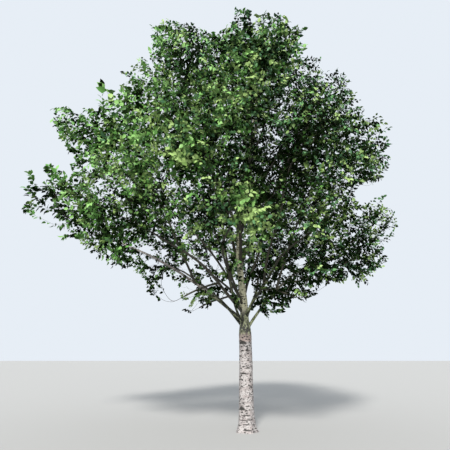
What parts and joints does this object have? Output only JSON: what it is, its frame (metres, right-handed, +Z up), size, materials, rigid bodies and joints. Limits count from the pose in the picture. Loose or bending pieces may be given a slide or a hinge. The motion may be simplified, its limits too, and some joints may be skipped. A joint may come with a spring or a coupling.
{
  "type": "birch tree",
  "caption": "Young white-barked birch with a clear trunk, a fork of rising boughs and a full rounded crown of leafy twigs, rooted in the ground.",
  "frame": {"origin": "middle of the flat cut under the trunk at ground level", "axes": "+Z up along the trunk, +X to the right in the picture's view, +Y away from the viewer"},
  "size_m": [7.9281, 6.9467, 9.4009],
  "materials": {
    "bark": "peeling pale bark with dark lenticels",
    "bough_bark": "smooth grey-brown bark",
    "leaves": "slightly glossy leaves"
  },
  "bodies": {
    "root": {"trunk": "bark", "bough_low_1": "bough_bark", "bough_low_2": "bough_bark", "bough_low_3": "bough_bark", "bough_low_4": "bough_bark", "bough_low_5": "bough_bark", "bough_low_6": "bough_bark", "bough_low_7": "bough_bark", "bough_low_8": "bough_bark", "bough_skirt_1": "bough_bark", "bough_skirt_2": "bough_bark", "bough_skirt_3": "bough_bark", "bough_middle_1": "bough_bark", "bough_middle_2": "bough_bark", "bough_middle_3": "bough_bark", "bough_middle_4": "bough_bark", "bough_middle_5": "bough_bark", "bough_middle_6": "bough_bark", "bough_middle_7": "bough_bark", "bough_high_1": "bough_bark", "bough_high_2": "bough_bark", "bough_high_3": "bough_bark", "bough_high_4": "bough_bark", "bough_high_5": "bough_bark", "bough_high_6": "bough_bark", "bough_top_1": "bough_bark", "bough_top_2": "bough_bark", "bough_top_3": "bough_bark", "bough_top_4": "bough_bark", "foliage_low_1": "leaves", "foliage_low_2": "leaves", "foliage_low_3": "leaves", "foliage_low_4": "leaves", "foliage_low_5": "leaves", "foliage_low_6": "leaves", "foliage_low_7": "leaves", "foliage_low_8": "leaves", "foliage_skirt_1": "leaves", "foliage_skirt_2": "leaves", "foliage_skirt_3": "leaves", "foliage_middle_1": "leaves", "foliage_middle_2": "leaves", "foliage_middle_3": "leaves", "foliage_middle_4": "leaves", "foliage_middle_5": "leaves", "foliage_middle_6": "leaves", "foliage_middle_7": "leaves", "foliage_high_1": "leaves", "foliage_high_2": "leaves", "foliage_high_3": "leaves", "foliage_high_4": "leaves", "foliage_high_5": "leaves", "foliage_high_6": "leaves", "foliage_top_1": "leaves", "foliage_top_2": "leaves", "foliage_top_3": "leaves", "foliage_top_4": "leaves", "foliage_spire": "leaves"}
  },
  "joints": []
}
